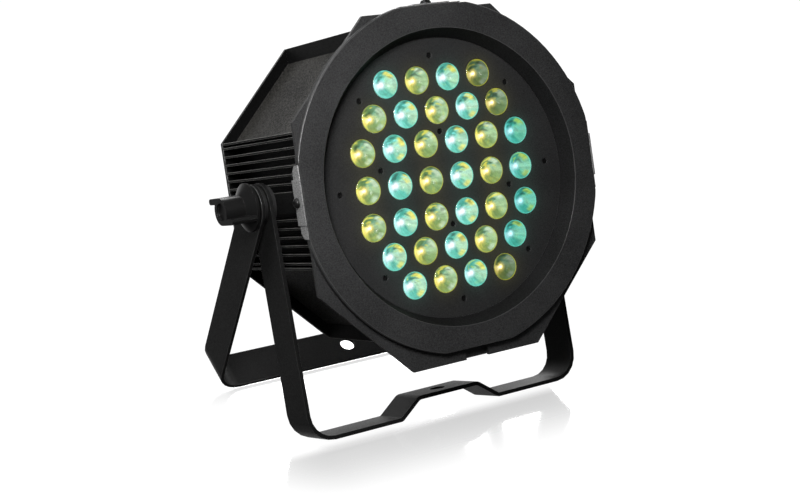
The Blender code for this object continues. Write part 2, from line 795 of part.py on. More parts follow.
def socket_shell(name, centre, holes=()):
    """A panel socket's metal shell: a flange outside the panel and an open tube through it."""
    x, z = centre
    across, up = SHELL_HALF
    plate = rounded_box((x - across, z - up), (x + across, z + up), FITTING_CORNER)
    bore = circle(centre, XLR_BORE, LARGE_ROUND)
    shell = solid(
        name,
        DARK_STEEL,
        HEAD,
        lambda bm: sheet(bm, [plate, bore, *holes], FLANGE_START, SOCKET_FLANGE),
    )
    walls = [circle(centre, XLR_RADIUS, LARGE_ROUND), bore]
    combine(shell, "tube", lambda bm: sheet(bm, walls, SHELL_FRONT, FLANGE_START + PAST), "UNION")


def contact_spots(centre):
    return [(centre[0] + dx, centre[1] + dz) for dx, dz in CONTACT_SPOTS]


def build_dmx_sockets():
    socket_shell("dmx_in_shell", DMX_IN)
    insert = solid(
        "dmx_in_insert",
        BLACK_PLASTIC,
        HEAD,
        lambda bm: rod(bm, "Y", DMX_IN, XLR_BORE - GAP, INSERT_FRONT, DMX_IN_FLOOR, ROUND),
    )

    def pins(bm):
        for spot in contact_spots(DMX_IN):
            rod(bm, "Y", spot, PIN_RADIUS, DMX_IN_FLOOR - PAST, PIN_END, 8)

    combine(insert, "pins", pins, "UNION")

    x, z = DMX_OUT
    slot = [(x + dx, z + dz) for dx, dz in LATCH_SLOT]
    socket_shell("dmx_out_shell", DMX_OUT, [rounded_box(*slot, 0.5, 1)])
    block = solid(
        "dmx_out_insert",
        BLACK_PLASTIC,
        HEAD,
        lambda bm: rod(bm, "Y", DMX_OUT, OUT_BLOCK_RADIUS, INSERT_FRONT, OUT_BLOCK_END, ROUND),
    )

    def contact_holes(bm):
        for spot in contact_spots(DMX_OUT):
            rod(bm, "Y", spot, CONTACT_HOLE_RADIUS, CONTACT_HOLE_FLOOR, OUT_BLOCK_END + PAST, 8)

    combine(block, "contact_holes", contact_holes)
    # The tab starts behind the end of the shell's tube, so that it can be pressed down past it.
    (tab_left, tab_bottom), (tab_right, tab_top) = LATCH_TAB
    tab_low = (x + tab_left, FLANGE_START + PAST + GAP, z + tab_bottom)
    tab_high = (x + tab_right, SOCKET_FLANGE + LATCH_TAB_PROUD, z + tab_top)
    origin = (x, FLANGE_START, z + (tab_bottom + tab_top) / 2)
    tab = solid("dmx_out_latch", STEEL, HEAD, lambda bm: box(bm, tab_low, tab_high), origin)
    round_edges(tab, 0.4, 1)


def build_power_sockets():
    (_, z0), (_, z1) = INLET_BODY
    centre = middle(INLET_BODY)
    half = POWER_FLANGE_HALF
    low, high = (centre[0] - half, z0 - INLET_MARGIN), (centre[0] + half, z1 + INLET_MARGIN)
    flange = rounded_box(low, high, FITTING_CORNER)
    inlet = solid(
        "power_inlet",
        BLACK_PLASTIC,
        HEAD,
        lambda bm: sheet(bm, [flange], FLANGE_START, SOCKET_FLANGE),
    )
    body = [rounded_box(*INLET_BODY, 1.5, 2)]
    body_ends = (SOCKET_BODY_FRONT, FLANGE_START + PAST)
    combine(inlet, "body", lambda bm: sheet(bm, body, *body_ends), "UNION")

    def pockets(bm):
        sheet(bm, [rounded_box(*INLET_CUP, FITTING_CORNER)], CUP_FLOOR, SOCKET_FLANGE + PAST)
        sheet(bm, [rounded_box(*DRAWER_AREA, 0.6, 1)], DRAWER_FLOOR, SOCKET_FLANGE + PAST)

    combine(inlet, "pockets", pockets)

    def blades(bm):
        x, z = middle(INLET_CUP)
        across, up = BLADE_HALF
        for dx, dz in BLADE_SPOTS:
            low = (x + dx - across, CUP_FLOOR - PAST, z + dz - up)
            box(bm, low, (x + dx + across, BLADE_END, z + dz + up))

    combine(inlet, "blades", blades, "UNION")
    (dx0, dz0), (dx1, dz1) = grown(DRAWER_AREA, -GAP)
    tray = solid(
        "fuse_drawer",
        BLACK_PLASTIC,
        HEAD,
        lambda bm: box(bm, (dx0, DRAWER_FLOOR + 2 * GAP, dz0), (dx1, SOCKET_FLANGE + DRAWER_PROUD, dz1)),
        (centre[0], PANEL_BACK, (dz0 + dz1) / 2),
    )
    round_edges(tray, 0.5, 1)

    (_, z0), (_, z1) = OUTLET_BODY
    centre = middle(OUTLET_BODY)
    low, high = (centre[0] - half, z0 - OUTLET_MARGIN), (centre[0] + half, z1 + OUTLET_MARGIN)
    flange = rounded_box(low, high, FITTING_CORNER)
    outlet = solid(
        "power_outlet",
        BLACK_PLASTIC,
        HEAD,
        lambda bm: sheet(bm, [flange], FLANGE_START, SOCKET_FLANGE),
    )
    body = [rounded_box(*OUTLET_BODY, 1.5, 2)]
    combine(outlet, "body", lambda bm: sheet(bm, body, *body_ends), "UNION")
    outer = rounded_box(*grown(OUTLET_BODY, -GROOVE_OUTER), FITTING_CORNER)
    ring = [outer, rounded_box(*grown(OUTLET_BODY, -GROOVE_INNER), 2.0)]
    combine(outlet, "groove", lambda bm: sheet(bm, ring, GROOVE_FLOOR, SOCKET_FLANGE + PAST))

    def slots(bm):
        x, z = centre
        across, up = BLADE_HALF
        for dx, dz in SLOT_SPOTS:
            low = (x + dx - across, SLOT_FLOOR, z + dz - up)
            box(bm, low, (x + dx + across, SOCKET_FLANGE + PAST, z + dz + up))

    combine(outlet, "slots", slots)


def build_power_supply():
    tray = solid("power_supply_tray", BARE_ALUMINIUM, HEAD, lambda bm: box(bm, *TRAY))
    (_, front, _), (_, back, tray_top) = TRAY

    def posts(bm):
        for spot in TRAY_POSTS:
            rod(bm, "Z", spot, POST_RADIUS, tray_top - SUNK, SUPPLY_BOARD_LOW - GAP, SMALL_ROUND)

    combine(tray, "posts", posts, "UNION")
    board_top = SUPPLY_BOARD_LOW + BOARD_THICKNESS
    board_low = (-SUPPLY_BOARD_HALF, front, SUPPLY_BOARD_LOW)
    board_high = (SUPPLY_BOARD_HALF, back, board_top)
    solid("power_supply_board", GREEN_BOARD, HEAD, lambda bm: box(bm, board_low, board_high))
    deck = board_top + GAP

    def block(area, height):
        (x0, y0), (x1, y1) = area
        return (x0, y0, deck), (x1, y1, deck + height)

    core = solid("transformer", YELLOW_TAPE, HEAD, lambda bm: box(bm, *block(CORE_AREA, CORE_HEIGHT)))
    combine(core, "limbs", lambda bm: box(bm, *block(LIMB_AREA, LIMB_HEIGHT)), "UNION")
    turned("filter_capacitor", BLUE_SLEEVE, HEAD, CAPACITOR, (*CAPACITOR_SPOT, deck), (0, 0, 1), 20)


def build_safety_loop():
    """An eye plate for a safety wire, standing out from the top of the rear panel."""
    eye = [(-EYE_HALF, 0), (EYE_HALF, 0), *arc((0, EYE_MIDDLE), EYE_RADIUS, 20, 160, 8)]
    flat = Matrix(((1, 0, 0, 0), (0, 0, 1, PANEL_BACK + GAP), (0, 1, 0, 0), (0, 0, 0, 1)))
    loop = solid(
        "safety_loop",
        STEEL,
        HEAD,
        lambda bm: sheet(bm, [eye, circle((0, EYE_HOLE_MIDDLE), EYE_HOLE, 16)], EYE_LOW, EYE_HIGH, flat),
    )
    foot, top = EYE_BASE
    low = (-EYE_HALF, PANEL_BACK + GAP, foot)
    high = (EYE_HALF, PANEL_BACK + GAP + EYE_BASE_THICKNESS, top)
    combine(loop, "base", lambda bm: box(bm, low, high), "UNION")


# --- Pivots, brackets and knobs ------------------------------------------------------------------


def grip_outline():
    """An S-shaped grip: a round core with one flat ear at the top and one at the bottom."""
    core = 9.7
    tip = 2.2
    reach = 14.9
    start = math.degrees(math.asin((core - 2 * tip) / core))
    half = arc((reach, core - tip), tip, 90, -90, 4) + arc((0, 0), core, start, -90, 9)
    return half + [(-x, -z) for x, z in half]


def ring_profile(radius, bore, thickness):
    return [(radius, thickness), (radius, 0), (bore, 0), (bore, thickness)]


def build_pivot(side, sign):
    """Everything on one end of the pivot line; sign is -1 on the left."""
    outwards = (sign, 0, 0)

    def spot(along):
        return (sign * along, PIVOT_BACK, 0)

    disc = ring_profile(DISC_RADIUS, BOLT_HOLE, FRONT_ARM - BAR_THICKNESS - BODY_SIDE - 2 * GAP)
    turned(f"friction_disc_{side}", RUBBER, HEAD, disc, spot(BODY_SIDE + GAP), outwards, 24)
    spacer = ring_profile(DISC_RADIUS, BOLT_HOLE, REAR_ARM - BAR_THICKNESS - FRONT_ARM - 2 * GAP)
    turned(f"bracket_spacer_{side}", BLACK_PLASTIC, HEAD, spacer, spot(FRONT_ARM + GAP), outwards, 24)
    seat = REAR_ARM + GAP
    washer = ring_profile(WASHER_RADIUS, BOLT_HOLE, WASHER_THICKNESS)
    turned(f"knob_washer_{side}", STEEL, HEAD, washer, spot(seat), outwards, 24)

    foot = seat + WASHER_THICKNESS + GAP
    collar = [
        (COLLAR_RADIUS, COLLAR_RIM),
        (COLLAR_RADIUS, 0),
        (BOLT_HOLE, 0),
        (BOLT_HOLE, HUB_END),
        (HUB_RADIUS, HUB_END),
    ]
    grip = turned(f"knob_grip_{side}", KNOB_PLASTIC, HEAD, collar, spot(foot), outwards, 32)
    lay = Matrix.Rotation(math.radians(-90 * sign), 4, "Z")
    shift = Matrix.Translation((0, PIVOT_BACK, 0))

    def handle(bm):
        sheet(bm, [grip_outline()], foot + HANDLE_START, KNOB_END, shift @ lay)

    def blind_hole(bm):
        low, high = sorted((sign * (foot - PAST), sign * BLIND_END))
        rod(bm, "X", (PIVOT_BACK, 0), BOLT_HOLE, low, high, ROUND)

    def end_recess(bm):
        low, high = sorted((sign * (KNOB_END - END_RECESS_DEPTH), sign * (KNOB_END + PAST)))
        rod(bm, "X", (PIVOT_BACK, 0), END_RECESS_RADIUS, low, high, ROUND)

    combine(grip, "handle", handle, "UNION")
    combine(grip, "blind_hole", blind_hole)
    combine(grip, "end_recess", end_recess)
    head = BLIND_END - GAP
    bolt = [
        (0, head),
        (BOLT_RADIUS, head),
        (BOLT_RADIUS, BOLT_TIP + BOLT_CHAMFER),
        (BOLT_TIP_RADIUS, BOLT_TIP),
        (0, BOLT_TIP),
    ]
    shifted = [(radius, along - foot) for radius, along in bolt]
    turned(f"knob_bolt_{side}", STEEL, HEAD, shifted, spot(foot), outwards, 24)


def rounded_path(points, radius, count):
    """The path with each inner corner replaced by an arc."""
    path = [Vector(points[0])]
    for before, corner, after in zip(points, points[1:], points[2:]):
        corner = Vector(corner)
        back = (Vector(before) - corner).normalized()
        ahead = (Vector(after) - corner).normalized()
        half = back.angle(ahead) / 2
        inset = radius(corner) / math.tan(half)
        centre = corner + (back + ahead).normalized() * radius(corner) / math.sin(half)
        start, end = corner + back * inset - centre, corner + ahead * inset - centre
        for i in range(count + 1):
            path.append(centre + start.slerp(end, i / count) * radius(corner))
    return [*path, Vector(points[-1])]


def build_bracket(name, parent, half_path):
    """A bent flat bar: half of its outer face, mirrored, made solid and given round arm ends."""

    def strip(bm):
        rows = [
            [bm.verts.new((x, y, z)) for x, z in half_path] for y in (-BAR_BLANK, BAR_BLANK)
        ]
        for i in range(len(half_path) - 1):
            bm.faces.new((rows[1][i], rows[1][i + 1], rows[0][i + 1], rows[0][i]))

    bar = solid(name, PAINT, parent, strip)
    mirror = bar.modifiers.new("other_side", "MIRROR")
    mirror.merge_threshold = 1e-5
    thick = bar.modifiers.new("bar_thickness", "SOLIDIFY")
    thick.thickness = BAR_THICKNESS * MM
    thick.offset = -1
    thick.use_even_offset = True
    reach = TRIM_REACH
    end = [(-BAR_HALF, -reach), (BAR_HALF, -reach), *arc((0, 0), BAR_HALF, 0, 180, 16)]
    lay = Matrix.Rotation(math.radians(90), 4, "Z")
    combine(bar, "round_ends", lambda bm: sheet(bm, [end], -reach, reach, lay), "INTERSECT")

    def holes(bm):
        rod(bm, "X", (0, 0), BOLT_HOLE, -reach, reach, ROUND)
        rod(bm, "Z", (0, 0), YOKE_HOLE, -reach, -reach / 2, ROUND)

    combine(bar, "holes", holes)


def build_brackets():
    step = STEP_HEIGHT - FRONT_LEG
    front = [
        (0, step),
        (STEP_HALF, step),
        (STEP_FOOT, -FRONT_LEG),
        (FRONT_ARM, -FRONT_LEG),
        (FRONT_ARM, BAR_BLANK),
    ]
    bend = rounded_path(front, lambda corner: BEND_RADIUS if corner.x > STEP_FOOT + 1 else STEP_BEND, 5)
    build_bracket("front_bracket", FRONT, bend)
    rear = [(0, -REAR_LEG), (REAR_ARM, -REAR_LEG), (REAR_ARM, BAR_BLANK)]
    build_bracket("rear_bracket", REAR, rounded_path(rear, lambda _: BEND_RADIUS, 6))


def head_origin():
    """Where the face plate's middle goes, so that the pivot line is at PIVOT_WORLD."""
    lean = Matrix.Rotation(math.radians(-HEAD_TILT), 3, "X")
    return Vector(PIVOT_WORLD) - lean @ Vector((0, PIVOT_BACK, 0))


clear_scene()
PARTS = new_collection("par_can_light")
CUTTERS = new_collection("cutters")
HEAD = frame("head_frame", head_origin(), -HEAD_TILT)
FRONT = frame("front_bracket_pivot", PIVOT_WORLD, -FRONT_SPLAY)
REAR = frame("rear_bracket_pivot", PIVOT_WORLD, REAR_SPLAY)

build_bezel_ring()
build_front_flange()
build_face_plate()
build_lens_array()
build_led_board()
build_side_extrusions()
build_corner_panels()
build_rear_panel()
build_clips()
build_bottom_latch()
build_display()
build_buttons()
build_control_board()
build_dmx_sockets()
build_power_sockets()
build_power_supply()
build_safety_loop()
for side_name, direction in (("left", -1), ("right", 1)):
    build_pivot(side_name, direction)
build_brackets()
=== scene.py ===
"""Looks for the LED par can light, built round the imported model.

Pieces are drawn in millimetres and scaled by MM. The stage and the camera are in metres.
"""
import json
import math

import bmesh
import bpy
from mathutils import Matrix, Vector, noise
from mathutils.geometry import delaunay_2d_cdt

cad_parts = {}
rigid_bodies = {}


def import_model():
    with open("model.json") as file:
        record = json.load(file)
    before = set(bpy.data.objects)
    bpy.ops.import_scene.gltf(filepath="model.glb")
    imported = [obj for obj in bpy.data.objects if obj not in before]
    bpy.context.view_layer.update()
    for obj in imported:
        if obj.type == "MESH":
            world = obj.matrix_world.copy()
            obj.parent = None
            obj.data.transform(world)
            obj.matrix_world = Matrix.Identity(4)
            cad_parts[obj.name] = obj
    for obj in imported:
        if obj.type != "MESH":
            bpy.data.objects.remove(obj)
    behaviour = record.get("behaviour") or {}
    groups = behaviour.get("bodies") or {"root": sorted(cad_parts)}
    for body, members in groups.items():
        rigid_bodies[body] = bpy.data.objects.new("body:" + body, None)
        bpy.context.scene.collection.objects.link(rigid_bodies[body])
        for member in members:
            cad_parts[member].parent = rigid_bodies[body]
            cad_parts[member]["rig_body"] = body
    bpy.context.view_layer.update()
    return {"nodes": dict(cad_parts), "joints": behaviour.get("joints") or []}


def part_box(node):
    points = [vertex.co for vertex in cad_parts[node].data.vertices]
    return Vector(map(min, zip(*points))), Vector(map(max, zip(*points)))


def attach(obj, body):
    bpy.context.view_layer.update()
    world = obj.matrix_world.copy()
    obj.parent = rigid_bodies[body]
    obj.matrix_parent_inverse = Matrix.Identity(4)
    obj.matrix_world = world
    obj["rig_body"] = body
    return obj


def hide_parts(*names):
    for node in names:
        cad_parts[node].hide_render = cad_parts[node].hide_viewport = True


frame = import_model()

MM = 0.001
# Edges that turn by more degrees than this are eased.
EASED_ANGLE = 28
ACRYLIC_IOR = 1.46
# Strength of the glow painted on the face plate round the lenses.
PLATE_GLOW = 0.019
JOINTS = {joint["name"]: joint for joint in frame["joints"]}

# The direction the camera looks in, and how far from its feet the floor still mirrors the object, in metres.
VIEW = Vector((0.5047, 0.8052, -0.3113))
FADE = 0.09
# How far in from a bracket's side the mirror image starts to fade, in metres.
FADE_INSET = 0.012
# How many times sooner it fades behind a foot than in front of it.
FADE_BEHIND = 5.0

# Lens field, in the head's own frame: X right, Z up, the lenses facing -Y.
PITCH = 26.0
ROW_STEP = PITCH * math.sqrt(3) / 2
LENS_RADIUS = 9.7
LENS_HOLE = 10.05
PLATE_RADIUS = 105.6
PLATE_BACK = 2.0
CUP_DEPTH = 6.1
EMITTER_TIP = 5.5
SCREW_CIRCLE = 87.4
SCREW_HOLE = 2.15
INNER_SCREWS = ((0.0, 33.3), (0.0, -33.3), (-52.8, 12.2), (52.8, -12.2))


def head_frame():
    """The head's frame in metres: its back axis from a button's travel, its origin from the face plate."""
    back = -Vector(JOINTS["menu_button_1_press"]["axis"]).normalized()
    across = Vector((1, 0, 0))
    up = across.cross(back).normalized()
    low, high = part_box("face_plate")
    origin = (low + high) / 2 - back * (PLATE_BACK / 2 * MM)
    place = Matrix((across, back, up)).transposed().to_4x4()
    place.translation = origin
    return place


# --- Mesh helpers --------------------------------------------------------------------------------


def body_of(node):
    return frame["nodes"][node]["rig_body"]


def finish_shading(mesh, degrees=32):
    mesh.polygons.foreach_set("use_smooth", [True] * len(mesh.polygons))
    mesh.update()
    mesh.set_sharp_from_angle(angle=math.radians(degrees))


def add_piece(name, mesh, body, materials, replaces=()):
    obj = bpy.data.objects.new(name, mesh)
    bpy.context.scene.collection.objects.link(obj)
    for entry in materials:
        mesh.materials.append(entry)
    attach(obj, body)
    if replaces:
        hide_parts(*replaces)
    return obj


def drawn(name, build, body, materials, replaces=(), place=None, degrees=32):
    """A piece from build(bm), drawn in mm in the head's frame or in place."""
    bm = bmesh.new()
    build(bm)
    bmesh.ops.scale(bm, verts=bm.verts, vec=(MM, MM, MM))
    bmesh.ops.transform(bm, matrix=HEAD if place is None else place, verts=bm.verts)
    mesh = bpy.data.meshes.new(name)
    bm.to_mesh(mesh)
    bm.free()
    finish_shading(mesh, degrees)
    return add_piece(name, mesh, body, materials, replaces)


def softened(node, width, materials, segments=2, shortest=0.0, pick=None):
    """A copy of a CAD node with its edges eased, save those under shortest mm.

    A second material, if any, goes on the eased edges: a lighter paint there is a painted highlight along
    them.
    pick(place, normal), in the head's frame, gives the number of a face's material.
    """
    bm = bmesh.new()
    bm.from_mesh(frame["nodes"][node].data)
    bmesh.ops.remove_doubles(bm, verts=bm.verts, dist=2e-6)
    bmesh.ops.dissolve_limit(
        bm, angle_limit=math.radians(0.6), verts=bm.verts, edges=bm.edges, use_dissolve_boundaries=False
    )
    into_head = HEAD.inverted()
    turn = into_head.to_3x3()
    for face in bm.faces:
        place = into_head @ face.calc_center_median() / MM
        face.material_index = pick(place, turn @ face.normal) if pick else 0
    weights = bm.edges.layers.float.new("bevel_weight_edge")
    for edge in bm.edges:
        if len(edge.link_faces) == 2 and edge.calc_face_angle() > math.radians(EASED_ANGLE):
            if edge.calc_length() >= shortest * MM:
                edge[weights] = 1.0
            else:
                edge.smooth = False
    mesh = bpy.data.meshes.new(f"{node}_finish")
    bm.to_mesh(mesh)
    bm.free()
    mesh.polygons.foreach_set("use_smooth", [True] * len(mesh.polygons))
    obj = add_piece(mesh.name, mesh, body_of(node), materials, [node])
    bevel = obj.modifiers.new("eased_edges", "BEVEL")
    bevel.width = width * MM
    bevel.segments = segments
    bevel.limit_method = "WEIGHT"
    bevel.miter_outer = "MITER_ARC"
    bevel.use_clamp_overlap = True
    if len(materials) > 1:
        bevel.material = 1
    weighted = obj.modifiers.new("even_shading", "WEIGHTED_NORMAL")
    weighted.keep_sharp = True
    return obj


def ring_of(bm, centre, radius, depth, count):
    x, z = centre
    return [
        bm.verts.new((
            x + radius * math.cos(math.tau * i / count),
            depth,
            z + radius * math.sin(math.tau * i / count),
        ))
        for i in range(count)
    ]


def bridge(bm, first, second):
    count = len(first)
    for i in range(count):
        bm.faces.new((first[i], first[(i + 1) % count], second[(i + 1) % count], second[i]))


def cap(bm, ring, centre, depth):
    tip = bm.verts.new((centre[0], depth, centre[1]))
    count = len(ring)
    for i in range(count):
        bm.faces.new((ring[i], ring[(i + 1) % count], tip))
    return tip


def revolve(bm, centre, tip, profile, count):
    """A turned surface about Y: tip is the y of its front middle, profile its (radius, y) out to its back."""
    rings = [ring_of(bm, centre, radius, y, count) for radius, y in profile]
    cap(bm, rings[0], centre, tip)
    for first, second in zip(rings, rings[1:]):
        bridge(bm, second, first)


# --- Materials -----------------------------------------------------------------------------------


def new_material(name):
    made = bpy.data.materials.new(name)
    made.use_nodes = True
    return made, made.node_tree, made.node_tree.nodes["Principled BSDF"]


def noise_node(tree, scale, detail=2.0, stretch=None):
    where = tree.nodes.new("ShaderNodeTexCoord")
    made = tree.nodes.new("ShaderNodeTexNoise")
    made.inputs["Scale"].default_value = scale
    made.inputs["Detail"].default_value = detail
    if stretch:
        mapping = tree.nodes.new("ShaderNodeMapping")
        mapping.inputs["Scale"].default_value = stretch
        tree.links.new(where.outputs["Object"], mapping.inputs["Vector"])
        tree.links.new(mapping.outputs["Vector"], made.inputs["Vector"])
    else:
        tree.links.new(where.outputs["Object"], made.inputs["Vector"])
    return made


def ranged(tree, source, low, high, start=0.3, end=0.7):
    made = tree.nodes.new("ShaderNodeMapRange")
    made.inputs["From Min"].default_value = start
    made.inputs["From Max"].default_value = end
    made.inputs["To Min"].default_value = low
    made.inputs["To Max"].default_value = high
    tree.links.new(source, made.inputs["Value"])
    return made.outputs["Result"]


def mixed(tree, factor, first, second):
    made = tree.nodes.new("ShaderNodeMix")
    made.data_type = "RGBA"
    tree.links.new(factor, made.inputs["Factor"])
    made.inputs["A"].default_value = (*first, 1)
    made.inputs["B"].default_value = (*second, 1)
    return made.outputs["Result"]


def bumped(tree, shader, height, strength, distance):
    made = tree.nodes.new("ShaderNodeBump")
    made.inputs["Strength"].default_value = strength
    made.inputs["Distance"].default_value = distance * MM
    tree.links.new(height, made.inputs["Height"])
    tree.links.new(made.outputs["Normal"], shader.inputs["Normal"])


def grained(name, dark, light, roughness, grain, bump, metallic=0.0, specular=0.5, spread=0.08, stretch=None):
    """Paint, plastic or rubber with a fine grain: grain is its size and bump its depth, in mm."""
    made, tree, shader = new_material(name)
    fine = noise_node(tree, 1 / (grain * MM), 3.0, stretch)
    broad = noise_node(tree, 22.0, 2.0)
    both = tree.nodes.new("ShaderNodeMath")
    both.operation = "MULTIPLY_ADD"
    tree.links.new(broad.outputs["Fac"], both.inputs[0])
    both.inputs[1].default_value = 0.35
    tree.links.new(fine.outputs["Fac"], both.inputs[2])
    tint = ranged(tree, both.outputs["Value"], 0.0, 1.0, 0.5, 0.85)
    tree.links.new(mixed(tree, tint, dark, light), shader.inputs["Base Color"])
    tree.links.new(
        ranged(tree, fine.outputs["Fac"], roughness + spread, roughness - spread), shader.inputs["Roughness"]
    )
    shader.inputs["Metallic"].default_value = metallic
    shader.inputs["Specular IOR Level"].default_value = specular
    bumped(tree, shader, fine.outputs["Fac"], 1.0, bump)
    return made


def glowing(name, attribute):
    """A surface that shines with a colour attribute, broken up a little by fine streaks."""
    made, tree, shader = new_material(name)
    colour = tree.nodes.new("ShaderNodeVertexColor")
    colour.layer_name = attribute
    streak = noise_node(tree, 1400.0, 2.0)
    level = ranged(tree, streak.outputs["Fac"], 0.88, 1.12)
    scaled = tree.nodes.new("ShaderNodeVectorMath")
    scaled.operation = "SCALE"
    tree.links.new(colour.outputs["Color"], scaled.inputs[0])
    tree.links.new(level, scaled.inputs["Scale"])
    tree.links.new(scaled.outputs["Vector"], shader.inputs["Emission Color"])
    shader.inputs["Emission Strength"].default_value = 1.0
    shader.inputs["Base Color"].default_value = (0.02, 0.03, 0.025, 1)
    shader.inputs["Roughness"].default_value = 0.35
    return made


def clear_cover(name, roughness):
    """A thin clear skin: what is behind shows through, and its own gloss lies over it."""
    made, tree, shader = new_material(name)
    tree.nodes.remove(shader)
    through = tree.nodes.new("ShaderNodeBsdfTransparent")
    through.inputs["Color"].default_value = (1, 1, 1, 1)
    gloss = tree.nodes.new("ShaderNodeBsdfGlossy")
    gloss.inputs["Roughness"].default_value = roughness
    edge = tree.nodes.new("ShaderNodeFresnel")
    edge.inputs["IOR"].default_value = ACRYLIC_IOR
    blend = tree.nodes.new("ShaderNodeMixShader")
    tree.links.new(edge.outputs["Fac"], blend.inputs["Fac"])
    tree.links.new(through.outputs["BSDF"], blend.inputs[1])
    tree.links.new(gloss.outputs["BSDF"], blend.inputs[2])
    tree.links.new(blend.outputs["Shader"], tree.nodes["Material Output"].inputs["Surface"])
    return made


PAINT = grained("satin_paint", (0.016, 0.016, 0.0165), (0.042, 0.042, 0.0425), 0.55, 0.8, 0.05, specular=0.22)
# Painted shade: a darker paint for the slope inside the ring, where shade falls in the recess.
RECESS_SHADE_PAINT = grained(
    "recess_shade_paint", (0.005, 0.005, 0.005), (0.014, 0.014, 0.0145), 0.55, 0.8, 0.05, specular=0.08
)
# Painted highlight: a lighter, glossier paint on the eased edges of the painted parts.
PAINT_EDGE_HIGHLIGHT = grained("satin_paint_edge_highlight", (0.03, 0.03, 0.03), (0.06, 0.06, 0.06), 0.36, 0.5, 0.01)
BAR_PAINT = grained(
    "bracket_paint", (0.005, 0.005, 0.005), (0.014, 0.014, 0.014), 0.42, 0.8, 0.05, specular=0.12
)
# Painted highlight: a lighter, shinier paint on the brackets' eased edges.
BAR_EDGE_HIGHLIGHT = grained("bracket_edge_highlight", (0.02, 0.02, 0.02), (0.05, 0.05, 0.05), 0.34, 0.5, 0.01, specular=0.5)
PANEL_PAINT = grained(
    "panel_paint", (0.001, 0.001, 0.001), (0.052, 0.050, 0.046), 0.5, 1.3, 0.4, specular=0.12
)
# Painted shade: near-black paint for the front side of the rear panel's rim.
LIP_SHADE_PAINT = grained("lip_shade_paint", (0.002, 0.002, 0.002), (0.004, 0.004, 0.004), 0.6, 0.8, 0.05, specular=0.04)
FIN_PAINT = grained(
    "fin_paint", (0.003, 0.003, 0.003), (0.008, 0.008, 0.008), 0.42, 0.5, 0.01, specular=0.14,
    stretch=(1, 0.1, 1),
)
# Painted highlight: a light, half-metal paint on the eased fin edges draws bright lines along them.
FIN_EDGE_HIGHLIGHT = grained(
    "fin_edge_highlight", (0.10, 0.10, 0.095), (0.26, 0.255, 0.24), 0.3, 0.5, 0.01, metallic=0.4, stretch=(1, 0.1, 1)
)
PLATE = grained(
    "face_plate_paint", (0.015, 0.015, 0.0155), (0.030, 0.030, 0.0305), 0.62, 0.7, 0.03, specular=0.2
)
CLIP = grained(
    "clip_zinc", (0.13, 0.13, 0.13), (0.40, 0.40, 0.40), 0.42, 0.6, 0.02, metallic=0.45, stretch=(1, 0.3, 1)
)
STEEL = grained("zinc_steel", (0.30, 0.30, 0.31), (0.42, 0.42, 0.43), 0.3, 0.4, 0.006, metallic=1.0)
DARK_STEEL = grained("black_oxide", (0.007, 0.007, 0.007), (0.02, 0.02, 0.02), 0.34, 0.4, 0.006, metallic=0.6)
KNOB = grained("knob_plastic", (0.004, 0.004, 0.004), (0.009, 0.009, 0.009), 0.38, 0.5, 0.012, specular=0.25)
# Painted highlight: a lighter, glossier plastic on the eased edges of knobs, frames and sockets.
KNOB_EDGE_HIGHLIGHT = grained("knob_edge_highlight", (0.05, 0.05, 0.05), (0.09, 0.09, 0.09), 0.3, 0.5, 0.01, specular=0.6)
PLASTIC = grained("black_plastic", (0.008, 0.008, 0.008), (0.015, 0.015, 0.015), 0.42, 0.4, 0.012)
RUBBER = grained("rubber", (0.010, 0.010, 0.010), (0.016, 0.016, 0.016), 0.75, 0.3, 0.01, specular=0.3)
ALUMINIUM = grained("bare_aluminium", (0.5, 0.5, 0.51), (0.62, 0.62, 0.63), 0.35, 0.5, 0.006, metallic=1.0)
WHITE_BOARD = grained("white_board", (0.65, 0.65, 0.63), (0.75, 0.75, 0.73), 0.5, 0.6, 0.005)
GREEN_BOARD = grained("green_board", (0.010, 0.10, 0.035), (0.018, 0.16, 0.06), 0.4, 0.8, 0.01)
YELLOW_TAPE = grained("yellow_tape", (0.55, 0.38, 0.03), (0.72, 0.52, 0.06), 0.4, 2.0, 0.02)
BLUE_SLEEVE = grained("blue_sleeve", (0.012, 0.03, 0.16), (0.025, 0.055, 0.26), 0.3, 1.5, 0.01)
WINDOW = grained("display_window", (0.035, 0.002, 0.002), (0.05, 0.004, 0.004), 0.08, 1.0, 0.001, spread=0.02)
SEGMENT = grained("display_segment", (0.10, 0.008, 0.006), (0.14, 0.012, 0.01), 0.3, 0.5, 0.002)
LENS_SKIN = clear_cover("lens_skin", 0.12)

HEAD = head_frame()


# --- Face ----------------------------------------------------------------------------------------

YELLOW, CYAN = "yellow", "cyan"


def lens_spots():
    """(X, Z, colour) of each lens, from the top row down."""
    top = 2 * ROW_STEP + PITCH
    rows = [(top, 4, CYAN), (top - ROW_STEP, 5, YELLOW), (PITCH, 6, YELLOW), (0.0, 6, YELLOW)]
    rows += [(-PITCH, 6, YELLOW), (ROW_STEP - top, 5, CYAN), (-top, 4, CYAN)]
    spots = []
    for level, count, first in rows:
        other = CYAN if first is YELLOW else YELLOW
        for i in range(count):
            spots.append(((i - (count - 1) / 2) * PITCH, level, other if i % 2 else first))
    return spots


def screw_spots():
    rim = [math.tau * i / 8 for i in range(8)]
    return [(SCREW_CIRCLE * math.cos(a), SCREW_CIRCLE * math.sin(a)) for a in rim] + list(INNER_SCREWS)


SPOTS = lens_spots()
HALO = {YELLOW: Vector((0.9, 0.85, 0.25)), CYAN: Vector((0.35, 0.95, 0.7))}


def halo_at(x, z):
    """The glow that the lit lenses throw on the plate round them, painted on the plate as an emission colour.
    """
    total = Vector((0, 0, 0))
    for sx, sz, colour in SPOTS:
        gap = math.hypot(x - sx, z - sz) - LENS_RADIUS
        if gap < 22:
            total += HALO[colour] * math.exp(-max(gap, 0) / 4.2)
    return total


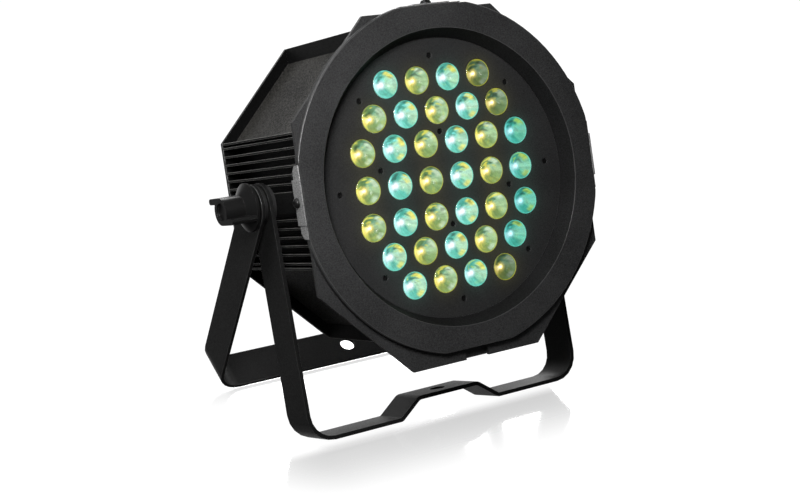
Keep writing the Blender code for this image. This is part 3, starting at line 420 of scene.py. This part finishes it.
def build_face_plate():
    """The plate as one fine mesh, so that the painted glow can lie on it, with eased holes."""
    ease = 0.3
    points, loops = [], []

    def loop(centre, radius, count):
        start = len(points)
        for i in range(count):
            a = math.tau * i / count
            points.append(Vector((centre[0] + radius * math.cos(a), centre[1] + radius * math.sin(a))))
        loops.append((start, count))

    loop((0, 0), PLATE_RADIUS, 160)
    holes = [((x, z), LENS_HOLE, 40) for x, z, _ in SPOTS]
    holes += [(spot, SCREW_HOLE, 16) for spot in screw_spots()]
    for centre, radius, count in holes:
        loop(centre, radius + ease, count)
    step = 2.6
    reach = int(PLATE_RADIUS / step) + 1
    for j in range(-reach, reach + 1):
        for i in range(-reach, reach + 1):
            x, z = (i + 0.5 * (j % 2)) * step, j * step * 0.866
            if math.hypot(x, z) > PLATE_RADIUS - 1.5:
                continue
            if all(math.hypot(x - c[0], z - c[1]) > radius + ease + 0.8 for c, radius, _ in holes):
                points.append(Vector((x, z)))
    edges = [(start + i, start + (i + 1) % count) for start, count in loops for i in range(count)]
    verts, _, faces, _, _, _ = delaunay_2d_cdt(points, edges, [], 0, 1e-4)
    bm = bmesh.new()
    made = [bm.verts.new((p.x, 0, p.y)) for p in verts]
    for face in faces:
        middle = sum((verts[i] for i in face), Vector((0, 0))) / len(face)
        inside = any((middle - Vector(c)).length < radius + ease * 0.5 for c, radius, _ in holes)
        if not inside and middle.length < PLATE_RADIUS:
            bm.faces.new([made[i] for i in face])
    bmesh.ops.delete(bm, geom=[v for v in bm.verts if not v.link_faces], context="VERTS")
    bmesh.ops.recalc_face_normals(bm, faces=bm.faces)
    if sum(face.normal.y for face in bm.faces) > 0:
        bmesh.ops.reverse_faces(bm, faces=bm.faces)
    for centre, radius, _ in [((0, 0), PLATE_RADIUS, 0), *holes]:
        outer = centre == (0, 0) and radius == PLATE_RADIUS
        rim = radius if outer else radius + ease
        found = [
            e
            for e in bm.edges
            if e.is_boundary
            and all(abs(math.hypot(v.co.x - centre[0], v.co.z - centre[1]) - rim) < 0.02 for v in e.verts)
        ]
        for y, change in ((ease, -ease if not outer else 0.0), (PLATE_BACK, 0.0)):
            grown = bmesh.ops.extrude_edge_only(bm, edges=found)["geom"]
            moved = [g for g in grown if isinstance(g, bmesh.types.BMVert)]
            for v in moved:
                away = Vector((v.co.x - centre[0], v.co.z - centre[1]))
                away = away.normalized() * (away.length + change)
                v.co = (centre[0] + away.x, y, centre[1] + away.y)
            lines = [g for g in grown if isinstance(g, bmesh.types.BMEdge)]
            found = [line for line in lines if all(v in moved for v in line.verts)]
    layer = bm.verts.layers.float_color.new("glow")
    for v in bm.verts:
        v[layer] = (*halo_at(v.co.x, v.co.z), 1) if v.co.y < PLATE_BACK / 2 else (0, 0, 0, 1)
    bmesh.ops.scale(bm, verts=bm.verts, vec=(MM, MM, MM))
    bmesh.ops.transform(bm, matrix=HEAD, verts=bm.verts)
    mesh = bpy.data.meshes.new("face_plate_finish")
    bm.to_mesh(mesh)
    bm.free()
    finish_shading(mesh, 25)
    # A lit copy of the plate's paint: the lenses' glow is painted on it as emission.
    lit = PLATE.copy()
    lit.name = "face_plate_paint_lit"
    tree = lit.node_tree
    colour = tree.nodes.new("ShaderNodeVertexColor")
    colour.layer_name = "glow"
    shader = tree.nodes["Principled BSDF"]
    tree.links.new(colour.outputs["Color"], shader.inputs["Emission Color"])
    shader.inputs["Emission Strength"].default_value = PLATE_GLOW
    add_piece("face_plate_finish", mesh, "lamp_head", [lit], ["face_plate"])


def blend_colour(stops, t):
    for (a, first), (b, second) in zip(stops, stops[1:]):
        if t <= b:
            k = (t - a) / (b - a)
            k = k * k * (3 - 2 * k)
            return Vector(first).lerp(Vector(second), k)
    return Vector(stops[-1][1])


# What each colour of lit lens shows, as linear colours: down its middle from t = 0 to its rim at t = 1, then
# on its wall at angles round it in degrees, 0 to the right and 90 at the top.
CUP_MIDDLE = {
    YELLOW: [
        (0.0, (2.4, 2.2, 1.4)),
        (0.11, (1.4, 1.22, 0.55)),
        (0.22, (0.95, 0.78, 0.20)),
        (0.5, (0.66, 0.60, 0.07)),
    ],
    CYAN: [
        (0.0, (1.5, 1.6, 1.6)),
        (0.15, (0.98, 1.08, 1.12)),
        (0.28, (0.66, 0.92, 0.95)),
        (0.5, (0.35, 0.82, 0.80)),
    ],
}
CUP_WALL = {
    YELLOW: [
        (-180, (0.95, 0.88, 0.12)),
        (-140, (0.62, 0.62, 0.10)),
        (-105, (0.26, 0.34, 0.08)),
        (-60, (0.22, 0.36, 0.12)),
        (-35, (0.27, 0.44, 0.18)),
        (0, (0.40, 0.62, 0.34)),
        (35, (0.34, 0.58, 0.34)),
        (60, (0.16, 0.38, 0.24)),
        (85, (0.10, 0.22, 0.09)),
        (110, (0.11, 0.22, 0.07)),
        (140, (0.20, 0.30, 0.08)),
        (165, (0.90, 0.84, 0.12)),
        (180, (0.95, 0.88, 0.12)),
    ],
    CYAN: [
        (-180, (0.70, 1.0, 1.0)),
        (-140, (0.45, 0.85, 0.80)),
        (-105, (0.20, 0.66, 0.54)),
        (-70, (0.16, 0.56, 0.44)),
        (-42, (0.48, 0.80, 0.55)),
        (-10, (0.72, 0.86, 0.58)),
        (15, (0.70, 0.88, 0.66)),
        (42, (0.55, 0.80, 0.52)),
        (62, (0.18, 0.56, 0.42)),
        (85, (0.07, 0.38, 0.30)),
        (115, (0.08, 0.40, 0.34)),
        (145, (0.28, 0.74, 0.70)),
        (165, (0.68, 1.0, 1.0)),
        (180, (0.70, 1.0, 1.0)),
    ],
}
CRESCENT = {YELLOW: Vector((0.60, 0.78, 0.56)), CYAN: Vector((0.90, 0.82, 0.14))}
RIM_LINE = {YELLOW: Vector((0.55, 0.53, 0.04)), CYAN: Vector((0.18, 0.85, 0.70))}


def eased(value, start, end):
    k = min(1, max(0, (value - start) / (end - start)))
    return k * k * (3 - 2 * k)


def cup_colour(colour, t, angle, seed, dimness):
    """What a lit lens shows at t, from 0 in its middle to 1 at its rim, and angle round it."""
    cosine, sine = math.cos(angle), math.sin(angle)
    degrees = math.degrees(math.atan2(sine, cosine))
    # The bright middle runs out to the left as a wedge.
    core = t / (1 + (1.5 if colour is YELLOW else 0.9) * eased(-cosine - 0.25 * sine, 0.72, 1.0))
    middle = blend_colour(CUP_MIDDLE[colour], min(core, 0.5))
    middle *= 1 - 0.35 * dimness * eased(t, 0.1, 0.3)
    swirl = noise.noise(Vector((2.2 * t + seed, 1.3 * cosine, 1.3 * sine)))
    wall = blend_colour(CUP_WALL[colour], max(-180, min(180, degrees + 30 * swirl + 30 * (t - 0.7))))
    inside = eased(t, 0.62, 0.80) * eased(1 - t, 0.03, 0.10)
    crescent = inside * eased(34 - abs(degrees - 46 - 14 * math.sin(seed)), 0, 16)
    if seed % 2 < 1.1:
        crescent += 0.8 * inside * eased(26 - abs(degrees + 52), 0, 14)
    wall = wall.lerp(CRESCENT[colour], min(1, 0.9 * crescent))
    arc = noise.noise(Vector((5.2 * t + 1.2 * sine + 0.7 * seed, 1.5 * cosine, 1.5 * sine)))
    streak = noise.noise(Vector((1.2 * t, 5 * cosine, 5 * sine + seed)))
    upper = eased(sine, 0.1, 0.9)
    bright = Vector((0.80, 0.76, 0.10)) if colour is YELLOW or seed % 3 < 0.8 else Vector((0.35, 0.95, 0.88))
    wall = wall.lerp(bright, eased(arc, 0.16, 0.42) * (0.15 + 0.6 * upper))
    wall *= 1 - 0.6 * eased(-arc, 0.12, 0.42) * (0.3 + 0.7 * upper)
    wall *= 1 + 0.3 * streak
    wall *= 1 - dimness * (0.32 + 0.28 * (colour is YELLOW))
    if colour is CYAN:
        wall = Vector((wall.x * 0.68, wall.y * 0.92, wall.z * 0.92)).lerp(wall, min(1, crescent))
    here = middle.lerp(wall, eased(core, 0.12, 0.46))
    if colour is CYAN:
        here.x *= 1 - 0.5 * dimness
    return here.lerp(RIM_LINE[colour], 0.85 * eased(t, 0.955, 0.985))


def build_lamps():
    """A lit cup behind every lens, with its emitter, and a clear skin over each."""
    curve = [(9.7, 0.0), (9.25, 0.35), (8.9, 1.0), (8.2, 2.1), (7.2, 3.3), (6.0, 4.4), (4.8, 5.3), (3.4, 5.9)]
    profile = []
    for (radius, depth), (next_radius, next_depth) in zip(curve, curve[1:]):
        for k in (0, 1 / 3, 2 / 3):
            profile.append((radius + (next_radius - radius) * k, depth + (next_depth - depth) * k))
    profile += [(3.1, 6.0), (2.7, CUP_DEPTH), (2.1, CUP_DEPTH), (1.6, CUP_DEPTH)]
    profile += [(1.1, 5.9), (0.7, 5.6), (0.3, EMITTER_TIP)]
    count = 64
    bm = bmesh.new()
    layer = bm.verts.layers.float_color.new("glow")
    for number, (x, z, colour) in enumerate(SPOTS):
        seed = 7.3 * number + 1.1
        dimness = eased(math.hypot(x + 20, z), 74, 92)
        rings = []
        for radius, depth in profile:
            ring = ring_of(bm, (x, z), radius, depth, count)
            for i, v in enumerate(ring):
                v[layer] = (*cup_colour(colour, radius / LENS_RADIUS, math.tau * i / count, seed, dimness), 1)
            rings.append(ring)
        for outer, inner in zip(rings, rings[1:]):
            bridge(bm, outer, inner)
        tip = cap(bm, rings[-1], (x, z), EMITTER_TIP)
        tip[layer] = (*CUP_MIDDLE[colour][0][1], 1)
    bmesh.ops.scale(bm, verts=bm.verts, vec=(MM, MM, MM))
    bmesh.ops.transform(bm, matrix=HEAD, verts=bm.verts)
    mesh = bpy.data.meshes.new("led_cups")
    bm.to_mesh(mesh)
    bm.free()
    finish_shading(mesh, 60)
    add_piece("led_cups", mesh, "lamp_head", [glowing("lit_cup", "glow")], [])

    def skins(bm):
        dome = [(9.68, 0.35), (9.68, -0.1), (9.4, -0.32), (8.6, -0.62)]
        dome += [(7.0, -1.0), (5.0, -1.32), (2.5, -1.55)]
        for x, z, _ in SPOTS:
            rings = [ring_of(bm, (x, z), radius, y, count) for radius, y in dome]
            for outer, inner in zip(rings, rings[1:]):
                bridge(bm, outer, inner)
            cap(bm, rings[-1], (x, z), -1.62)

    drawn("lens_skins", skins, "lamp_head", [LENS_SKIN], ["lens_array"], degrees=50)

    def plate_screws(bm):
        head = [(0.9, 1.45), (0.9, 0.95), (1.6, 1.0), (1.95, 1.3), (1.95, 1.95)]
        for x, z in screw_spots():
            revolve(bm, (x, z), 1.5, head, 20)

    drawn("plate_screws", plate_screws, "lamp_head", [DARK_STEEL], [])


# --- Rear ----------------------------------------------------------------------------------------


def screw_head(node, outward, radius, height):
    """A button-head screw with a hexagonal socket, in place of the plain CAD one."""
    count, socket = 24, 1.25
    into_head = HEAD.inverted()
    places = [into_head @ v.co / MM for v in frame["nodes"][node].data.vertices]
    low, high = (Vector([pick(p[i] for p in places) for i in range(3)]) for pick in (min, max))
    outward = Vector(outward)
    half = (high - low) / 2
    top = (low + high) / 2 + Vector([outward[i] * half[i] for i in range(3)])
    length = 2 * abs(half.dot(outward))
    turn = Vector((0, -1, 0)).rotation_difference(outward).to_matrix().to_4x4()
    place = HEAD @ Matrix.Translation((top - outward * height) * MM) @ turn

    def six_sided(bm, depth):
        ring = []
        for i in range(count):
            a = math.tau * i / count
            reach = socket * math.cos(math.pi / 6) / math.cos((a % (math.pi / 3)) - math.pi / 6)
            ring.append(bm.verts.new((reach * math.cos(a), depth, reach * math.sin(a))))
        return ring

    def build(bm):
        rings = [six_sided(bm, 1.3 - height), six_sided(bm, 0.08 - height)]
        dome = [(1.65, -height), (0.62 * radius, 0.12 - height), (0.86 * radius, -0.68 * height)]
        dome += [(radius, -0.3 * height), (radius, 0), (0.45 * radius, 0), (0.45 * radius, length - height)]
        rings += [ring_of(bm, (0, 0), reach, depth, count) for reach, depth in dome]
        for inner, outer in zip(rings, rings[1:]):
            bridge(bm, inner, outer)
        cap(bm, rings[0], (0, 0), 1.3 - height)
        cap(bm, rings[-1], (0, 0), length - height)
        bmesh.ops.recalc_face_normals(bm, faces=bm.faces)

    drawn(f"{node}_finish", build, body_of(node), [DARK_STEEL], [node], place)


def build_digits():
    """Four unlit seven-segment digits on the display's window, each stroke a thin bevelled slab."""
    front, height, stroke, slant, level_z = 129.1, 0.08, 0.62, 0.10, 53.0
    across, tall = 6.4, 11.2
    strokes = [(0, 1, False), (0, 0, False), (0, -1, False)]
    strokes += [(side, level, True) for side in (-1, 1) for level in (-0.5, 0.5)]

    def slab(bm, x, z, reach, upright):
        outline = [(-reach, 0), (-reach + stroke, stroke), (reach - stroke, stroke)]
        outline += [(reach, 0), (reach - stroke, -stroke), (-reach + stroke, -stroke)]
        rings = []
        for shrink, depth in ((1.0, front), (1.0, front + height * 0.6), (0.93, front + height)):
            ring = []
            for a, b in outline:
                a, b = (b * shrink, a * shrink) if upright else (a * shrink, b * shrink)
                ring.append(bm.verts.new((x + a - slant * (z - level_z + b), depth, z + b)))
            rings.append(ring)
        for first, second in zip(rings, rings[1:]):
            bridge(bm, first, second)
        bm.faces.new(rings[0])
        bm.faces.new(rings[-1])

    def build(bm):
        for middle in (-16.2, -5.4, 5.4, 16.2):
            for side, level, upright in strokes:
                reach = (tall / 4 if upright else across / 2) - 0.25
                slab(bm, middle + side * across / 2, level_z + level * tall / 2, reach, upright)
            slab(bm, middle - 4.6, level_z - tall / 2, 0.65, False)
        bmesh.ops.recalc_face_normals(bm, faces=bm.faces)

    drawn("display_digits", build, "lamp_head", [SEGMENT], [])


def dmx_pin(place, normal):
    """The input's three metal pins, which stand out of its floor."""
    return 2 if place.y > 116.05 and math.hypot(place.x + 32, place.z + 8) < 5.4 else 0


def blade(place, normal):
    """The power inlet's three metal blades, inside its cup."""
    return 2 if 110.05 < place.y < 125.1 and abs(place.x + 33) < 9.5 and abs(place.z + 48.75) < 6.5 else 0


# --- Stage ---------------------------------------------------------------------------------------


def area_light(name, place, aim, size, power):
    data = bpy.data.lights.new(name, "AREA")
    data.energy = power
    data.size = size
    obj = bpy.data.objects.new(name, data)
    obj.location = place
    obj.rotation_euler = (Vector(aim) - Vector(place)).to_track_quat("-Z", "Y").to_euler()
    obj.visible_camera = False
    bpy.context.scene.collection.objects.link(obj)


def build_world():
    """White to the camera; to the light it is a lit white backdrop behind the object and dim all round."""
    world = bpy.data.worlds.new("studio")
    bpy.context.scene.world = world
    world.use_nodes = True
    tree = world.node_tree
    back = tree.nodes["Background"]
    back.inputs["Color"].default_value = (1, 1, 1, 1)
    where = tree.nodes.new("ShaderNodeTexCoord")
    facing = tree.nodes.new("ShaderNodeVectorMath")
    facing.operation = "DOT_PRODUCT"
    tree.links.new(where.outputs["Generated"], facing.inputs[0])
    facing.inputs[1].default_value = Vector((VIEW.x, VIEW.y, 0)).normalized()
    glow = ranged(tree, facing.outputs["Value"], 0.07, 1.0, 0.55, 0.85)
    ray = tree.nodes.new("ShaderNodeLightPath")
    level = tree.nodes.new("ShaderNodeMix")
    level.data_type = "FLOAT"
    tree.links.new(glow, level.inputs["A"])
    level.inputs["B"].default_value = 1.02
    tree.links.new(ray.outputs["Is Camera Ray"], level.inputs["Factor"])
    tree.links.new(level.outputs["Result"], back.inputs["Strength"])


def near_the_feet(tree):
    """1 at the lines on which the two brackets stand, falling to 0 at FADE from them."""
    where = tree.nodes.new("ShaderNodeTexCoord")
    split = tree.nodes.new("ShaderNodeSeparateXYZ")
    tree.links.new(where.outputs["Object"], split.inputs[0])

    def step(operation, first, second):
        made = tree.nodes.new("ShaderNodeMath")
        made.operation = operation
        for socket, value in zip(made.inputs, (first, second)):
            if isinstance(value, float):
                socket.default_value = value
            elif value is not None:
                tree.links.new(value, socket)
        return made.outputs["Value"]

    (low, high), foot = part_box("front_bracket"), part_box("rear_bracket")[1]
    aside = step("ABSOLUTE", split.outputs["X"], None)
    beside = step("MAXIMUM", step("SUBTRACT", aside, high.x - FADE_INSET), 0.0)
    ahead = []
    for line in (low.y, foot.y):
        past = step("SUBTRACT", split.outputs["Y"], line)
        ahead.append(step("MAXIMUM", step("MULTIPLY", past, -1.0), step("MULTIPLY", past, FADE_BEHIND)))
    ahead = step("MINIMUM", *ahead)
    apart = step("SQRT", step("ADD", step("POWER", beside, 2.0), step("POWER", ahead, 2.0)), None)
    eased_off = tree.nodes.new("ShaderNodeMapRange")
    eased_off.interpolation_type = "SMOOTHSTEP"
    eased_off.inputs["From Min"].default_value = 0.0
    eased_off.inputs["From Max"].default_value = FADE
    eased_off.inputs["To Min"].default_value = 1.0
    eased_off.inputs["To Max"].default_value = 0.0
    tree.links.new(apart, eased_off.inputs["Value"])
    return eased_off.outputs["Result"]


def build_stage():
    build_world()
    bpy.ops.mesh.primitive_plane_add(size=24, location=(0, 0, 0))
    floor = bpy.context.object
    floor.name = "studio_floor"
    made, tree, shader = new_material("studio_floor")
    tree.nodes.remove(shader)
    near = near_the_feet(tree)
    glow = tree.nodes.new("ShaderNodeEmission")
    tree.links.new(ranged(tree, near, 1.0, 0.60, 0.0, 1.0), glow.inputs["Strength"])
    matt = tree.nodes.new("ShaderNodeBsdfDiffuse")
    matt.inputs["Color"].default_value = (0.10, 0.10, 0.10, 1)
    gloss = tree.nodes.new("ShaderNodeBsdfGlossy")
    tree.links.new(mixed(tree, near, (0, 0, 0), (0.44, 0.44, 0.44)), gloss.inputs["Color"])
    gloss.inputs["Roughness"].default_value = 0.10
    lit = tree.nodes.new("ShaderNodeAddShader")
    whole = tree.nodes.new("ShaderNodeAddShader")
    tree.links.new(glow.outputs["Emission"], lit.inputs[0])
    tree.links.new(matt.outputs["BSDF"], lit.inputs[1])
    tree.links.new(lit.outputs["Shader"], whole.inputs[0])
    tree.links.new(gloss.outputs["BSDF"], whole.inputs[1])
    tree.links.new(whole.outputs["Shader"], tree.nodes["Material Output"].inputs["Surface"])
    floor.data.materials.append(made)
    floor.visible_diffuse = False
    floor.visible_glossy = False

    area_light("key", (-0.35, -0.37, 0.50), (-0.08, -0.08, 0.26), 0.18, 3.9)
    area_light("top_side", (-0.55, 0.15, 1.1), (0, 0.05, 0.2), 0.5, 4.5)
    area_light("low_fill", (-1.3, -1.0, 0.15), (0, 0.0, 0.15), 0.5, 0.3)
    area_light("rear", (0.9, 1.4, 0.9), (0, 0.1, 0.15), 0.7, 14)
    bpy.context.scene.view_settings.view_transform = "Standard"


def build_camera():
    data = bpy.data.cameras.new("camera")
    data.sensor_width = 36
    data.lens = 67.4
    camera = bpy.data.objects.new("camera", data)
    bpy.context.scene.collection.objects.link(camera)
    camera.location = HEAD.translation + Vector((-0.5751, -0.8548, 0.2831))
    camera.rotation_euler = VIEW.to_track_quat("-Z", "Y").to_euler()
    bpy.context.scene.camera = camera


def shaded_front_face(place, normal):
    """The rear panel's rim stands past the corner panels, and its front side gets painted shade, a near-black
    paint.
    """
    return 2 if normal.y < -0.5 else 0


def shaded_ring_slope(place, normal):
    """The slope inside the ring, down to the face plate, gets painted shade: a darker paint than the ring's
    front.
    """
    return 2 if place.x * normal.x + place.z * normal.z < -30 else 0


def dress_nodes():
    softened("bezel_ring", 0.3, [PAINT, PAINT_EDGE_HIGHLIGHT, RECESS_SHADE_PAINT], 3, pick=shaded_ring_slope)
    softened("front_flange", 0.3, [PAINT, PAINT_EDGE_HIGHLIGHT], shortest=3)
    for side in ("left", "right", "top", "bottom"):
        softened(f"side_extrusion_{side}", 0.28, [FIN_PAINT, FIN_EDGE_HIGHLIGHT], 3)
        screw_head(f"rear_screw_{side}", (0, 1, 0), 3.4, 2.4)
    for corner in ("top_left", "top_right", "bottom_left", "bottom_right"):
        softened(f"corner_panel_{corner}", 0.25, [PANEL_PAINT])
    softened("rear_panel", 0.35, [PAINT, PAINT_EDGE_HIGHLIGHT, LIP_SHADE_PAINT], shortest=20, pick=shaded_front_face)
    for side in ("left", "right", "top"):
        softened(f"clip_plate_{side}", 0.2, [CLIP])
    screw_head("clip_screw_left", (-1, 0, 0), 3.5, 2.6)
    screw_head("clip_screw_right", (1, 0, 0), 3.5, 2.6)
    screw_head("latch_screw_bottom", (0, 0, -1), 4.0, 2.6)
    softened("clip_stud_top", 0.15, [DARK_STEEL])
    softened("latch_plate_bottom", 0.3, [PAINT, PAINT_EDGE_HIGHLIGHT])
    for side in ("front", "rear"):
        softened(f"{side}_bracket", 0.45, [BAR_PAINT, BAR_EDGE_HIGHLIGHT], 3)
    for side in ("left", "right"):
        softened(f"knob_grip_{side}", 0.5, [KNOB, KNOB_EDGE_HIGHLIGHT], 3)
        softened(f"knob_washer_{side}", 0.3, [STEEL])
        softened(f"knob_bolt_{side}", 0.2, [STEEL])
        softened(f"bracket_spacer_{side}", 0.3, [PLASTIC])
        softened(f"friction_disc_{side}", 0.3, [RUBBER])
    softened("display_frame", 0.3, [PLASTIC, KNOB_EDGE_HIGHLIGHT])
    softened("display_module", 0.3, [WINDOW])
    for number in range(1, 5):
        softened(f"menu_button_{number}", 0.4, [RUBBER])
    for node in ("dmx_in_shell", "dmx_out_shell"):
        softened(node, 0.35, [DARK_STEEL, PAINT_EDGE_HIGHLIGHT])
    softened("dmx_out_latch", 0.2, [STEEL])
    softened("dmx_in_insert", 0.25, [PLASTIC, KNOB_EDGE_HIGHLIGHT, STEEL], pick=dmx_pin)
    softened("power_inlet", 0.25, [PLASTIC, KNOB_EDGE_HIGHLIGHT, STEEL], pick=blade)
    for node in ("dmx_out_insert", "power_outlet", "fuse_drawer"):
        softened(node, 0.25, [PLASTIC, KNOB_EDGE_HIGHLIGHT])
    softened("safety_loop", 0.3, [STEEL], shortest=1.5)
    inner = {
        "led_board": WHITE_BOARD,
        "heat_spreader": ALUMINIUM,
        "control_board": GREEN_BOARD,
        "power_supply_tray": ALUMINIUM,
        "power_supply_board": GREEN_BOARD,
        "transformer": YELLOW_TAPE,
        "filter_capacitor": BLUE_SLEEVE,
    }
    for node, look in inner.items():
        softened(node, 0.2, [look])


build_camera()
build_stage()
build_face_plate()
build_lamps()
build_digits()
dress_nodes()
